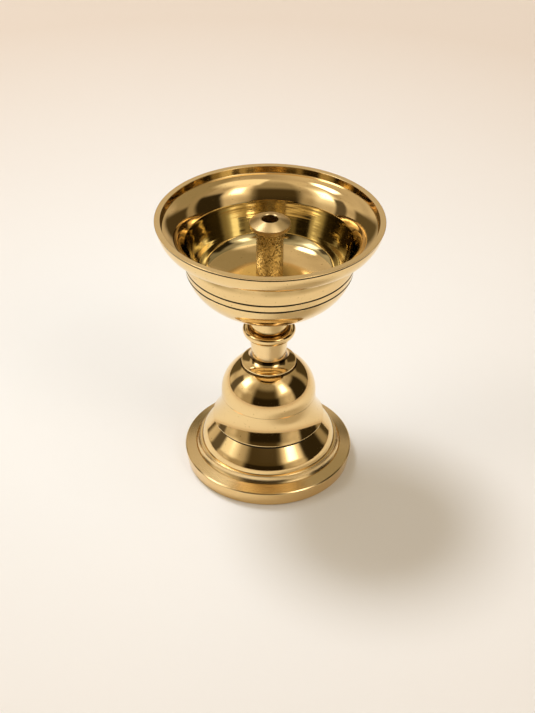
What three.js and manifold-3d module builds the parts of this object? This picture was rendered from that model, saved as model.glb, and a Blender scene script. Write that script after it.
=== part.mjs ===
// Brass diya: an oil lamp whose cast and turned pieces are stacked on one tie rod.
// Millimetres, +Z up. The origin is the centre of the ring that the foot stands on.
import * as THREE from 'three';
import * as BufferGeometryUtils from 'three/addons/utils/BufferGeometryUtils.js';
import Module from 'manifold-3d';

// Facets round the axis: large turned pieces, small turned pieces, fasteners
const LARGE_SEGMENTS = 40;
const SMALL_SEGMENTS = 30;
const FASTENER_SEGMENTS = 24;

// Clearances
const FIT = 0.3; // radial play of a spigot or a rod in its bore
const SOCKET_PLAY = 0.4; // space left past the end of a stud
const OVERRUN = 1; // a cutter runs past both faces by this much
const MERGE_TOLERANCE = 1e-5;

// Tie rod, washer and nut (M6)
const ROD_RADIUS = 3;
const ROD_CHAMFER = 0.4;
const ROD_TAIL = 1; // length that shows under the nut
const ROD_IN_BOWL = 6.3; // length screwed into the bowl's collar
const NUT_WIDTH = 10; // across flats
const NUT_HEIGHT = 4;
const WASHER_RADIUS = 8;
const WASHER_THICKNESS = 1.2;

// Foot plate
const FOOT_RADIUS = 39.8;
const FOOT_TAPER = 0.9; // the edge leans in towards the floor by this much
const FOOT_EDGE_HEIGHT = 7;
const FOOT_BEVEL = 0.5;
const FOOT_TOP_RISE = 1.2; // rise of the plate's top from its edge to the step ring
const FOOT_STAND_WIDTH = 3; // width of the ring that stands on the floor
const FOOT_PLATE_WALL = 3;
const RECESS_DRAFT = 1; // the recess under the foot narrows by this much
const STEP_RADIUS = 32.4;
const STEP_FLARE = 1.7; // the step ring widens by this much at its foot
const STEP_HOLLOW = 0.25; // how far its side is drawn in
const STEP_HEIGHT = 3.4;
const REGISTER_HEIGHT = 1.5; // raised ring that centres the piece above
const REGISTER_WIDTH = 2;

// Spider that carries the rod inside the foot
const ARM_COUNT = 3;
const ARM_WIDTH = 7;
const ARM_THICKNESS = 3;
const HUB_RADIUS = 8.6;
const HUB_THICKNESS = 4;
const HUB_CLEARANCE = 2.4; // floor to the rod's lower end

// Lower bell: a bulge with a flared skirt on top of it
const BELL_SEAT_RADIUS = 31.7;
const BELL_WALL = 2.3;
const BULGE_ROUND = 10.5; // radius of the rounded lower part
const BULGE_START = 8; // degrees that the wall leans in at the seat
const BULGE_LEAN = 41; // degrees that it leans in further up
const WAIST_RADIUS = 25; // where the bulge ends under the skirt's lip
const UNDERCUT_DEPTH = 0.7;
const UNDERCUT_HEIGHT = 1.9;
const LIP_OVERHANG = 1.2; // the skirt's lip stands out past the waist
const LIP_THICKNESS = 0.4;
const SKIRT_HEIGHT = 12.6;

// Upper bell, a dome
const SEAM_RADIUS = 22.1; // where the dome sits on the skirt
const DOME_STRAIGHT = 1.3;
const DOME_RISE = 18.9;
const DOME_LAND_RADIUS = 12.3;
const DOME_WALL = 2.2;
const DOME_HOLLOW_END = 72; // degrees up to where the hollow is round
const SEAM_BEVEL = 0.15;

// Dished flange between the dome and the neck
const FLANGE_RADIUS = 12.7;
const FLANGE_RELIEF = 0.8; // its underside is relieved this far in from the edge
const FLANGE_RELIEF_HEIGHT = 0.5;
const FLANGE_EDGE = 1; // height of the edge's top
const FLANGE_ROUND = 0.25; // rounding of the edge
const FLANGE_HEIGHT = 4.9;
const DISH_RISE = 18; // degrees that the dish rises at its edge
const DISH_STEEPNESS = 80; // degrees where it meets the neck

// Neck
const NECK_FOOT_RADIUS = 7.9;
const NECK_TOP_RADIUS = 9;
const NECK_HEIGHT = 9.2;
const NECK_HOLLOW = 0.1; // how far its side is drawn in

// Knop, the bead between neck and bowl
const KNOP_RADIUS = 12.1;
const KNOP_RING_RADIUS = 9.3;
const KNOP_RING_HEIGHT = 1.3;
const KNOP_RING_FLARE = 0.3; // rise of the sharp corner between ring and belly
const KNOP_BELLY_HEIGHT = 5.4; // height of its widest circle
const KNOP_HEIGHT = 7.8;

// Bowl, outside
const COLLAR_RADIUS = 9.1;
const COLLAR_FLARE = 0.2;
const COLLAR_HEIGHT = 3.4;
const CUP_RADIUS = 37.5;
const CUP_DEPTH = 25.4;
const CUP_BASE_RADIUS = 13.4; // where the round cup leaves the collar's cove
const CUP_BASE_HEIGHT = 6.5; // rise of that cove
const CUP_BASE_HOLLOW = 0.7;
const CUP_WALL_HEIGHT = 5.6;
const CUP_WALL_FLARE = 0.5;
const GROOVE_WIDTH = 0.9;
const GROOVE_DEPTH = 0.6;
const UPPER_GROOVE_DROP = 0.7; // depths of the two grooves under the cup's widest circle
const LOWER_GROOVE_DROP = 3.8;
const BAND_FOOT_RADIUS = 47.2;
const BAND_TOP_RADIUS = 49.6;
const BAND_HEIGHT = 5.8;
const BAND_BULGE = 0.4;
const BAND_EDGE = 0.4;
const COVE_HEIGHT = 7.4; // rise of the cove under the band
const COVE_END = 97; // degrees round the cove to where the band's edge starts
const RIM_RADIUS = 50;
const RIM_GROOVE_DEPTH = 0.7;
const RIM_GROOVE_HEIGHT = 0.5;
const RIM_EDGE_HEIGHT = 1;
const RIM_BEVEL = 0.3;

// Bowl, inside: a steep cove, a rounded shelf, a steep wall and a shallow floor. Drops are below the lip.
const RIM_WIDTH = 2.6;
const COVE_INSET = 0.8; // from the mouth to the cove's corner
const COVE_DROP = 3.3;
const SHELF_START = 16; // degrees that the shelf slopes at the cove
const SHELF_END = 63; // degrees at the ledge
const SHELF_PULL = 1.46; // above 1, the slope at the cove is kept for longer
const LEDGE_INSET = 0.3; // from the cup's widest radius
const LEDGE_DROP = 12.07;
const WALL_FOOT_INSET = 4.8;
const WALL_FOOT_DROP = 25.56;
const FLOOR_INSET = 8.4;
const FLOOR_EDGE_DROP = 30.1;
const FLOOR_EDGE_SLOPE = 28; // degrees
const FLOOR_DROP = 34.2;
const SEAT_PAD_RADIUS = 7; // flat pad under the wick holder

// Wick holder
const SHAFT_RADIUS = 6;
const HOLDER_RADIUS = 9;
const HOLDER_THICKNESS = 2;
const HOLDER_CROWN = 0.4; // its top rises towards the bore by this much
const HOLDER_BEVEL = 0.25;
const HOLDER_BELOW_LIP = 1.6; // top of the holder below the bowl's lip
const WICK_RADIUS = 3.6;
const WICK_BEVEL = 0.4;
const WICK_DEPTH = 24;
const WICK_DRILL_POINT = 1;
const STUD_RADIUS = 3;
const STUD_LENGTH = 4.6;

// Heights of the stack, each from the one below
const rodBottom = HUB_CLEARANCE;
const nutBottom = rodBottom + ROD_TAIL;
const washerBottom = nutBottom + NUT_HEIGHT;
const hubBottom = washerBottom + WASHER_THICKNESS;
const plateTop = FOOT_EDGE_HEIGHT + FOOT_BEVEL + FOOT_TOP_RISE;
const footSeat = plateTop + STEP_HEIGHT;
const bulge = bulgeOutline();
const waistHeight = bulge[bulge.length - 1].y;
const lipHeight = waistHeight + UNDERCUT_HEIGHT;
const skirtBottom = lipHeight + LIP_THICKNESS;
const seamHeight = skirtBottom + SKIRT_HEIGHT;
const domeSpring = seamHeight + DOME_STRAIGHT;
const domeTop = ellipseHeight(DOME_LAND_RADIUS, SEAM_RADIUS, DOME_RISE, domeSpring);
const flangeTop = domeTop + FLANGE_HEIGHT;
const neckTop = flangeTop + NECK_HEIGHT;
const knopTop = neckTop + KNOP_HEIGHT;
const rodTop = knopTop + ROD_IN_BOWL;
const collarTop = knopTop + COLLAR_HEIGHT;
const cupBase = collarTop + CUP_BASE_HEIGHT;
const cupWidest = cupBase + CUP_DEPTH * Math.sqrt(1 - (CUP_BASE_RADIUS / CUP_RADIUS) ** 2);
const cupWallTop = cupWidest + CUP_WALL_HEIGHT;
const bandBottom = cupWallTop + COVE_HEIGHT;
const bandTop = bandBottom + BAND_EDGE + BAND_HEIGHT;
const rimTop = bandTop + RIM_GROOVE_HEIGHT + RIM_EDGE_HEIGHT;
const padHeight = rimTop - FLOOR_DROP;
const holderTop = rimTop - HOLDER_BELOW_LIP;
const boreRadius = ROD_RADIUS + FIT;
const bellInnerRadius = BELL_SEAT_RADIUS - BELL_WALL;
const domeInnerRadius = SEAM_RADIUS - DOME_WALL;

// Height of the upper half of an ellipse at a given radius
function ellipseHeight(radius, halfWidth, halfHeight, centre) {
  return centre + halfHeight * Math.sqrt(1 - (radius / halfWidth) ** 2);
}

function point(radius, height) {
  return new THREE.Vector2(radius, height);
}

// Points on an ellipse round (radius, height), angles in degrees from the outward direction
function ellipse(radius, height, halfWidth, halfHeight, from, to, steps) {
  const points = [];
  for (let i = 0; i <= steps; i += 1) {
    const angle = THREE.MathUtils.degToRad(THREE.MathUtils.lerp(from, to, i / steps));
    points.push(point(radius + halfWidth * Math.cos(angle), height + halfHeight * Math.sin(angle)));
  }
  return points;
}

// A shallow arc from one point to another; a positive bow stands out to the right of the way along it
function bowed(start, end, bow, steps) {
  const along = end.clone().sub(start);
  const side = point(along.y, -along.x).normalize();
  const points = [];
  for (let i = 0; i <= steps; i += 1) {
    const t = i / steps;
    points.push(start.clone().addScaledVector(along, t).addScaledVector(side, bow * 4 * t * (1 - t)));
  }
  return points;
}

// A smooth curve between two points; headings are degrees round from outwards, 90 is up
function flowing(start, startHeading, end, endHeading, steps, startPull = 1, endPull = 1) {
  const reach = start.distanceTo(end) / 3;
  const handle = (from, heading, length) => {
    const angle = THREE.MathUtils.degToRad(heading);
    return point(from.x + length * Math.cos(angle), from.y + length * Math.sin(angle));
  };
  const leaving = handle(start, startHeading, reach * startPull);
  const arriving = handle(end, endHeading, -reach * endPull);
  return new THREE.CubicBezierCurve(start, leaving, arriving, end).getPoints(steps);
}

// Square groove cut into a wall, listed from the bottom up
function groove(radius, height) {
  const half = GROOVE_WIDTH / 2;
  return [
    point(radius, height - half),
    point(radius - GROOVE_DEPTH, height - half),
    point(radius - GROOVE_DEPTH, height + half),
    point(radius, height + half),
  ];
}

// Round lower part and straight upper part of the bell's bulge, from its seat to the waist
function bulgeOutline(wall = 0) {
  const start = THREE.MathUtils.degToRad(BULGE_START);
  const lean = THREE.MathUtils.degToRad(BULGE_LEAN);
  const centreRadius = BELL_SEAT_RADIUS - BULGE_ROUND * Math.cos(start);
  const centreHeight = footSeat - BULGE_ROUND * Math.sin(start);
  const round = BULGE_ROUND - wall;
  const points = ellipse(centreRadius, centreHeight, round, round, BULGE_START, BULGE_LEAN, 5);
  const last = points[points.length - 1];
  const run = last.x - (WAIST_RADIUS - wall * Math.cos(lean));
  points.push(point(last.x - run, last.y + run / Math.tan(lean)));
  return points;
}

// The skirt is an arc, upright at its top, that flares out to the lip
function skirtOutline(wall = 0) {
  const flare = WAIST_RADIUS + LIP_OVERHANG - SEAM_RADIUS;
  const round = (SKIRT_HEIGHT ** 2 + flare ** 2) / (2 * flare);
  const sweep = THREE.MathUtils.radToDeg(Math.asin(SKIRT_HEIGHT / round));
  const curve = round + wall;
  return ellipse(SEAM_RADIUS + round, seamHeight, curve, curve, 180 + sweep, 180, 6);
}

// Turned solid: the outline runs outside upwards, is closed, or starts and ends on the axis
function turned(outline, segments, closed) {
  const points = closed ? [...outline, outline[0].clone()] : outline;
  const geometry = new THREE.LatheGeometry(points, segments);
  geometry.rotateX(Math.PI / 2);
  return geometry;
}

const wasm = await Module();
wasm.setup();

function toSolid(geometry) {
  const bare = geometry.clone();
  bare.deleteAttribute('normal');
  bare.deleteAttribute('uv');
  const merged = BufferGeometryUtils.mergeVertices(bare, MERGE_TOLERANCE);
  const mesh = new wasm.Mesh({
    numProp: 3,
    vertProperties: new Float32Array(merged.attributes.position.array),
    triVerts: new Uint32Array(merged.index.array),
  });
  return new wasm.Manifold(mesh);
}

function toGeometry(solid) {
  const mesh = solid.getMesh();
  const geometry = new THREE.BufferGeometry();
  geometry.setAttribute('position', new THREE.BufferAttribute(mesh.vertProperties, 3));
  geometry.setIndex(new THREE.BufferAttribute(mesh.triVerts, 1));
  geometry.computeVertexNormals();
  return geometry;
}

// Upright cylinder standing on the given height
function cylinder(radius, bottom, height, sides) {
  const geometry = new THREE.CylinderGeometry(radius, radius, height, sides);
  geometry.rotateX(Math.PI / 2);
  geometry.translate(0, 0, bottom + height / 2);
  return geometry;
}

function footPlate() {
  const floorRadius = FOOT_RADIUS - FOOT_TAPER;
  const stepFoot = STEP_RADIUS + STEP_FLARE;
  const registerRadius = bellInnerRadius - FIT;
  const registerInner = registerRadius - REGISTER_WIDTH;
  const recessRadius = floorRadius - FOOT_STAND_WIDTH;
  const stepStart = point(stepFoot, plateTop);
  const stepEnd = point(STEP_RADIUS + FOOT_BEVEL, footSeat - FOOT_BEVEL);
  const ring = turned([
    point(recessRadius, 0),
    point(floorRadius - FOOT_BEVEL, 0),
    point(floorRadius, FOOT_BEVEL),
    point(FOOT_RADIUS, FOOT_EDGE_HEIGHT),
    point(FOOT_RADIUS - FOOT_BEVEL, FOOT_EDGE_HEIGHT + FOOT_BEVEL),
    point(stepFoot + FOOT_BEVEL, plateTop),
    point(stepFoot + FOOT_BEVEL / 2, plateTop - FOOT_BEVEL),
    ...bowed(stepStart, stepEnd, -STEP_HOLLOW, 3),
    point(STEP_RADIUS, footSeat),
    point(registerRadius, footSeat),
    point(registerRadius, footSeat + REGISTER_HEIGHT),
    point(registerInner, footSeat + REGISTER_HEIGHT),
    point(registerInner, hubBottom),
    point(registerInner + REGISTER_WIDTH, plateTop - FOOT_PLATE_WALL),
    point(recessRadius - RECESS_DRAFT, FOOT_EDGE_HEIGHT - FOOT_PLATE_WALL),
  ], LARGE_SEGMENTS, true);
  let solid = toSolid(ring).add(toSolid(cylinder(HUB_RADIUS, hubBottom, HUB_THICKNESS, SMALL_SEGMENTS)));
  const armLength = registerInner + REGISTER_WIDTH / 2;
  for (let i = 0; i < ARM_COUNT; i += 1) {
    const arm = new THREE.BoxGeometry(armLength, ARM_WIDTH, ARM_THICKNESS);
    arm.translate(armLength / 2, 0, hubBottom + ARM_THICKNESS / 2);
    arm.rotateZ((2 * Math.PI * i) / ARM_COUNT + Math.PI / 2);
    solid = solid.add(toSolid(arm));
  }
  const bore = cylinder(boreRadius, hubBottom - OVERRUN, HUB_THICKNESS + 2 * OVERRUN, FASTENER_SEGMENTS);
  return toGeometry(solid.subtract(toSolid(bore)));
}

function lowerBell() {
  const registerRadius = domeInnerRadius - FIT;
  const registerInner = registerRadius - REGISTER_WIDTH;
  const lipRadius = WAIST_RADIUS + LIP_OVERHANG;
  const rebateTop = footSeat + REGISTER_HEIGHT + FIT;
  const inside = [
    point(bellInnerRadius, footSeat),
    point(bellInnerRadius, rebateTop),
    ...bulgeOutline(BELL_WALL).filter((p) => p.y > rebateTop),
    ...skirtOutline(BELL_WALL),
  ];
  return turned([
    ...bulge,
    point(WAIST_RADIUS - UNDERCUT_DEPTH, waistHeight + UNDERCUT_DEPTH),
    point(lipRadius, lipHeight),
    ...skirtOutline(),
    point(registerRadius, seamHeight),
    point(registerRadius, seamHeight + REGISTER_HEIGHT),
    point(registerInner, seamHeight + REGISTER_HEIGHT),
    ...inside.reverse().slice(1),
  ], LARGE_SEGMENTS, true);
}

function bellDome() {
  const land = THREE.MathUtils.radToDeg(Math.acos(DOME_LAND_RADIUS / SEAM_RADIUS));
  const innerTop = domeTop - DOME_WALL;
  const innerRise = innerTop - domeSpring;
  return turned([
    point(domeInnerRadius, seamHeight),
    point(SEAM_RADIUS - SEAM_BEVEL, seamHeight),
    point(SEAM_RADIUS, seamHeight + SEAM_BEVEL),
    ...ellipse(0, domeSpring, SEAM_RADIUS, DOME_RISE, 0, land, 9),
    point(boreRadius, domeTop),
    point(boreRadius, innerTop),
    ...ellipse(0, domeSpring, domeInnerRadius, innerRise, DOME_HOLLOW_END, 0, 7),
  ], LARGE_SEGMENTS, true);
}

function neckFlange() {
  const edge = domeTop + FLANGE_EDGE;
  const dishStart = point(FLANGE_RADIUS - FLANGE_ROUND, edge);
  const dishEnd = point(NECK_FOOT_RADIUS, flangeTop);
  return turned([
    point(boreRadius, domeTop),
    point(FLANGE_RADIUS - FLANGE_RELIEF, domeTop),
    point(FLANGE_RADIUS, domeTop + FLANGE_RELIEF_HEIGHT),
    point(FLANGE_RADIUS, edge - FLANGE_ROUND),
    ...flowing(dishStart, 180 - DISH_RISE, dishEnd, 180 - DISH_STEEPNESS, 7),
    point(boreRadius, flangeTop),
  ], SMALL_SEGMENTS, true);
}

function neck() {
  return turned([
    point(boreRadius, flangeTop),
    ...bowed(point(NECK_FOOT_RADIUS, flangeTop), point(NECK_TOP_RADIUS, neckTop), -NECK_HOLLOW, 5),
    point(boreRadius, neckTop),
  ], SMALL_SEGMENTS, true);
}

function knop() {
  const belly = neckTop + KNOP_BELLY_HEIGHT;
  const lowerHeight = KNOP_BELLY_HEIGHT - KNOP_RING_HEIGHT - KNOP_RING_FLARE;
  return turned([
    point(boreRadius, neckTop),
    point(KNOP_RING_RADIUS, neckTop),
    point(KNOP_RING_RADIUS, neckTop + KNOP_RING_HEIGHT),
    ...ellipse(COLLAR_RADIUS, belly, KNOP_RADIUS - COLLAR_RADIUS, lowerHeight, -90, 0, 6),
    ...ellipse(COLLAR_RADIUS, belly, KNOP_RADIUS - COLLAR_RADIUS, knopTop - belly, 0, 90, 6).slice(1),
    point(boreRadius, knopTop),
  ], SMALL_SEGMENTS, true);
}

function bowl() {
  const socketRadius = STUD_RADIUS + FIT;
  const cupStart = THREE.MathUtils.radToDeg(Math.asin(CUP_BASE_RADIUS / CUP_RADIUS)) - 90;
  const drop = (depth) => THREE.MathUtils.radToDeg(Math.asin(-depth / CUP_DEPTH));
  const cupAt = (depth) => CUP_RADIUS * Math.cos(THREE.MathUtils.degToRad(drop(depth)));
  const cup = (from, to, steps) => ellipse(0, cupWidest, CUP_RADIUS, CUP_DEPTH, from, to, steps);
  const below = drop(LOWER_GROOVE_DROP + GROOVE_WIDTH);
  const wallRadius = CUP_RADIUS + CUP_WALL_FLARE;
  const coveStart = point(COLLAR_RADIUS + COLLAR_FLARE, collarTop);
  const coveEnd = point(CUP_BASE_RADIUS, cupBase);
  const bandStart = point(BAND_FOOT_RADIUS, bandBottom + BAND_EDGE);
  const mouthRadius = RIM_RADIUS - RIM_WIDTH;
  const cove = point(mouthRadius - COVE_INSET, rimTop - COVE_DROP);
  const ledge = point(CUP_RADIUS - LEDGE_INSET, rimTop - LEDGE_DROP);
  const wallFoot = point(CUP_RADIUS - WALL_FOOT_INSET, rimTop - WALL_FOOT_DROP);
  const wallSlope = THREE.MathUtils.radToDeg(Math.atan2(ledge.y - wallFoot.y, ledge.x - wallFoot.x));
  const floorEdge = point(CUP_RADIUS - FLOOR_INSET, rimTop - FLOOR_EDGE_DROP);
  const pad = point(SEAT_PAD_RADIUS, padHeight);
  return turned([
    point(0, rodTop + SOCKET_PLAY),
    point(boreRadius, rodTop + SOCKET_PLAY),
    point(boreRadius, knopTop),
    point(COLLAR_RADIUS, knopTop),
    ...bowed(coveStart, coveEnd, -CUP_BASE_HOLLOW, 3).slice(0, 3),
    ...cup(cupStart, below, 9),
    ...groove(cupAt(LOWER_GROOVE_DROP), cupWidest - LOWER_GROOVE_DROP),
    ...groove(cupAt(UPPER_GROOVE_DROP), cupWidest - UPPER_GROOVE_DROP),
    point(CUP_RADIUS, cupWidest),
    ...ellipse(BAND_FOOT_RADIUS, cupWallTop, BAND_FOOT_RADIUS - wallRadius, COVE_HEIGHT, 180, COVE_END, 5),
    point(BAND_FOOT_RADIUS - BAND_EDGE, bandBottom),
    ...bowed(bandStart, point(BAND_TOP_RADIUS, bandTop), BAND_BULGE, 3),
    point(RIM_RADIUS - RIM_GROOVE_DEPTH, bandTop + RIM_GROOVE_HEIGHT / 3),
    point(RIM_RADIUS, bandTop + RIM_GROOVE_HEIGHT),
    point(RIM_RADIUS, rimTop - RIM_BEVEL),
    point(RIM_RADIUS - RIM_BEVEL, rimTop),
    point(mouthRadius, rimTop),
    ...flowing(cove, 180 + SHELF_START, ledge, 180 + SHELF_END, 6, SHELF_PULL),
    ...flowing(wallFoot, 180 + wallSlope, floorEdge, 180 + FLOOR_EDGE_SLOPE, 3),
    ...flowing(floorEdge, 180 + FLOOR_EDGE_SLOPE, pad, 180, 5).slice(1),
    point(socketRadius, padHeight),
    point(socketRadius, padHeight - STUD_LENGTH - SOCKET_PLAY),
    point(0, padHeight - STUD_LENGTH - SOCKET_PLAY),
  ], LARGE_SEGMENTS, false);
}

function wickHolder() {
  const underside = holderTop - HOLDER_CROWN - HOLDER_THICKNESS;
  const edge = holderTop - HOLDER_CROWN;
  return turned([
    point(0, padHeight - STUD_LENGTH),
    point(STUD_RADIUS, padHeight - STUD_LENGTH),
    point(STUD_RADIUS, padHeight),
    point(SHAFT_RADIUS, padHeight),
    point(SHAFT_RADIUS, underside - HOLDER_BEVEL),
    point(SHAFT_RADIUS + HOLDER_BEVEL, underside),
    point(HOLDER_RADIUS - HOLDER_BEVEL, underside),
    point(HOLDER_RADIUS, underside + HOLDER_BEVEL),
    point(HOLDER_RADIUS, edge - HOLDER_BEVEL),
    point(HOLDER_RADIUS - HOLDER_BEVEL, edge),
    point(WICK_RADIUS + WICK_BEVEL, holderTop),
    point(WICK_RADIUS, holderTop - WICK_BEVEL),
    point(WICK_RADIUS, holderTop - WICK_DEPTH),
    point(0, holderTop - WICK_DEPTH - WICK_DRILL_POINT),
  ], SMALL_SEGMENTS, false);
}

function tieRod() {
  return turned([
    point(0, rodBottom),
    point(ROD_RADIUS - ROD_CHAMFER, rodBottom),
    point(ROD_RADIUS, rodBottom + ROD_CHAMFER),
    point(ROD_RADIUS, rodTop - ROD_CHAMFER),
    point(ROD_RADIUS - ROD_CHAMFER, rodTop),
    point(0, rodTop),
  ], FASTENER_SEGMENTS, false);
}

function tieWasher() {
  return turned([
    point(boreRadius, washerBottom),
    point(WASHER_RADIUS, washerBottom),
    point(WASHER_RADIUS, hubBottom),
    point(boreRadius, hubBottom),
  ], FASTENER_SEGMENTS, true);
}

function tieNut() {
  const corner = NUT_WIDTH / Math.sqrt(3);
  const body = toSolid(cylinder(corner, nutBottom, NUT_HEIGHT, 6));
  const bore = cylinder(boreRadius, nutBottom - OVERRUN, NUT_HEIGHT + 2 * OVERRUN, FASTENER_SEGMENTS);
  return toGeometry(body.subtract(toSolid(bore)));
}

const polishedBrass = { color: 0xd8ae62, metalness: 1, roughness: 0.12 };
const satinBrass = { color: 0xd2ab66, metalness: 1, roughness: 0.35 };
const castBrass = { color: 0xb98b3e, metalness: 1, roughness: 0.5 };
const steel = { color: 0xa8a9a6, metalness: 1, roughness: 0.4 };

const lamp = new THREE.Group();

function addPiece(parent, name, geometry, finish) {
  const mesh = new THREE.Mesh(geometry, new THREE.MeshStandardMaterial(finish));
  mesh.name = name;
  parent.add(mesh);
}

const stand = new THREE.Group();
addPiece(stand, 'foot_plate', footPlate(), satinBrass);
addPiece(stand, 'lower_bell', lowerBell(), polishedBrass);
addPiece(stand, 'bell_dome', bellDome(), polishedBrass);
addPiece(stand, 'neck_flange', neckFlange(), polishedBrass);
addPiece(stand, 'neck', neck(), satinBrass);
addPiece(stand, 'knop', knop(), polishedBrass);
addPiece(stand, 'tie_rod', tieRod(), steel);
addPiece(stand, 'tie_washer', tieWasher(), steel);
addPiece(stand, 'tie_nut', tieNut(), steel);
lamp.add(stand);

const top = new THREE.Group();
addPiece(top, 'bowl', bowl(), polishedBrass);
addPiece(top, 'wick_holder', wickHolder(), castBrass);
lamp.add(top);

export default lamp;
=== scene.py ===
# Brass oil lamp on a turned stand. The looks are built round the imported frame, in metres, +Z up.
import math
from collections import namedtuple

import bpy
from mathutils import Matrix, Vector
from mathutils.geometry import interpolate_bezier


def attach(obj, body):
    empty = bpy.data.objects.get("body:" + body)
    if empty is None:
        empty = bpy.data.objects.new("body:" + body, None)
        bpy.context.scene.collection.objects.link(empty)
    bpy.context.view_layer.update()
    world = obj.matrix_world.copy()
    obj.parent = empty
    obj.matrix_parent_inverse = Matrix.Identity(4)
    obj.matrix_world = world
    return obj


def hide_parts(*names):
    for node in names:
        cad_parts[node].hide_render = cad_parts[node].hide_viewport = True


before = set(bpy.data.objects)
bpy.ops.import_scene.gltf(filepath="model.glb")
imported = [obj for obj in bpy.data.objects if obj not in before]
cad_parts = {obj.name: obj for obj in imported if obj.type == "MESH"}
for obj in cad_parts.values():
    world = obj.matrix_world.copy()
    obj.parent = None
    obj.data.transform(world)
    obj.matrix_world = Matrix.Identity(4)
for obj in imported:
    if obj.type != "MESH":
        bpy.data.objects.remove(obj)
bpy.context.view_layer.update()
print("frame loaded with", len(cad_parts), "nodes")

mm = 0.001
largeSteps = 288  # facets round the bowl and the foot
smallSteps = 192  # facets round the slimmer turned pieces
fastenerSteps = 96
boreSteps = 48
smoothAngle = math.radians(28)  # edges sharper than this stay crisp
weld = 0.002 * mm  # points nearer than this become one


# Outlines are lists of (radius, height) in millimetres. A third number is a corner's radius.
def arc(centre, halfWidth, halfHeight, start, stop, steps):
    turns = [math.radians(start + (stop - start) * i / steps) for i in range(steps + 1)]
    return [(centre[0] + halfWidth * math.cos(t), centre[1] + halfHeight * math.sin(t)) for t in turns]


def bowed(start, end, bow, steps):
    start, end = Vector(start[:2]), Vector(end[:2])
    along = end - start
    side = Vector((along.y, -along.x)).normalized()
    points = []
    for i in range(steps + 1):
        share = i / steps
        points.append(tuple(start + along * share + side * (4 * bow * share * (1 - share))))
    return points


def flowing(start, startHeading, end, endHeading, pulls, steps):
    # a smooth curve; headings are degrees round from outwards, 90 is up; pulls are the reach of its handles
    start, end = Vector(start), Vector(end)
    reach = (end - start).length / 3
    headings = [math.radians(heading) for heading in (startHeading, endHeading)]
    ways = [Vector((math.cos(h), math.sin(h))) * reach for h in headings]
    points = interpolate_bezier(start, start + ways[0] * pulls[0], end - ways[1] * pulls[1], end, steps + 1)
    return [(p.x, p.y) for p in points]


def easeCorners(outline, isClosed):
    corner = {"steps": 4, "hold": 1.5, "share": 0.46}  # hold: where the flat beside a corner is pinned
    points = []
    count = len(outline)
    for i, spot in enumerate(outline):
        here = Vector(spot[:2])
        if len(spot) == 2:
            points.append(here)
            continue
        before = Vector(outline[i - 1][:2]) - here
        after = Vector(outline[(i + 1) % count][:2]) - here
        half = before.angle(after) / 2
        reach = corner["share"] * min(before.length, after.length)
        run = min(spot[2] / math.tan(half), reach / corner["hold"])
        before.normalize()
        after.normalize()
        middle = here + (before + after).normalized() * (run / math.cos(half))
        first, last = here + before * run - middle, here + after * run - middle
        sweep = first.angle(last)
        points.append(here + before * run * corner["hold"])
        for k in range(corner["steps"] + 1):
            t = k / corner["steps"]
            mix = (first * math.sin((1 - t) * sweep) + last * math.sin(t * sweep)) / math.sin(sweep)
            points.append(middle + mix)
        points.append(here + after * run * corner["hold"])
    if isClosed:
        points.append(points[0])
    return points


def deselectAll():
    if bpy.context.object and bpy.context.object.mode != "OBJECT":
        bpy.ops.object.mode_set(mode="OBJECT")
    bpy.ops.object.select_all(action="DESELECT")


def makeActive(piece):
    deselectAll()
    piece.select_set(True)
    bpy.context.view_layer.objects.active = piece


def drawChain(name, points):
    # one vertex, extruded along the outline in the XZ plane
    deselectAll()
    bpy.ops.mesh.primitive_plane_add(size=mm)
    piece = bpy.context.object
    piece.name = piece.data.name = name
    bpy.ops.object.mode_set(mode="EDIT")
    bpy.ops.mesh.merge(type="CENTER")
    bpy.ops.transform.translate(value=(points[0].x * mm, 0, points[0].y * mm))
    for here, there in zip(points, points[1:]):
        move = ((there.x - here.x) * mm, 0, (there.y - here.y) * mm)
        bpy.ops.mesh.extrude_vertices_move(TRANSFORM_OT_translate={"value": move})
    return piece


def tidyMesh(piece):
    bpy.ops.mesh.select_all(action="SELECT")
    bpy.ops.mesh.remove_doubles(threshold=weld)
    bpy.ops.mesh.normals_make_consistent(inside=False)
    bpy.ops.object.mode_set(mode="OBJECT")
    bpy.ops.object.shade_smooth_by_angle(angle=smoothAngle)
    return piece


def smoothAgain(piece):
    # after the cuts, whose new faces are flat
    makeActive(piece)
    bpy.ops.object.shade_smooth_by_angle(angle=smoothAngle)
    return piece


def turnPiece(name, outline, steps, isClosed=True):
    piece = drawChain(name, easeCorners(outline, isClosed))
    bpy.ops.mesh.select_all(action="SELECT")
    bpy.ops.mesh.spin(steps=steps, angle=2 * math.pi, center=(0, 0, 0), axis=(0, 0, 1))
    return tidyMesh(piece)


def applyModifier(piece, kind, **settings):
    modifier = piece.modifiers.new(kind.lower(), kind)
    for key, value in settings.items():
        setattr(modifier, key, value)
    makeActive(piece)
    bpy.ops.object.modifier_apply(modifier=modifier.name)


def combine(piece, other, operation):
    applyModifier(piece, "BOOLEAN", object=other, operation=operation, solver="EXACT")
    bpy.data.objects.remove(other)


def box(name, low, high):
    deselectAll()
    bpy.ops.mesh.primitive_cube_add(size=1)
    made = bpy.context.object
    made.name = name
    made.data.transform(Matrix.LocRotScale((low + high) / 2, None, high - low))
    return made


def cylinder(name, radius, low, high, sides):
    deselectAll()
    bpy.ops.mesh.primitive_cylinder_add(vertices=sides, radius=radius * mm, depth=(high - low) * mm)
    made = bpy.context.object
    made.name = name
    made.data.transform(Matrix.Translation((0, 0, (low + high) / 2 * mm)))
    return made


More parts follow.
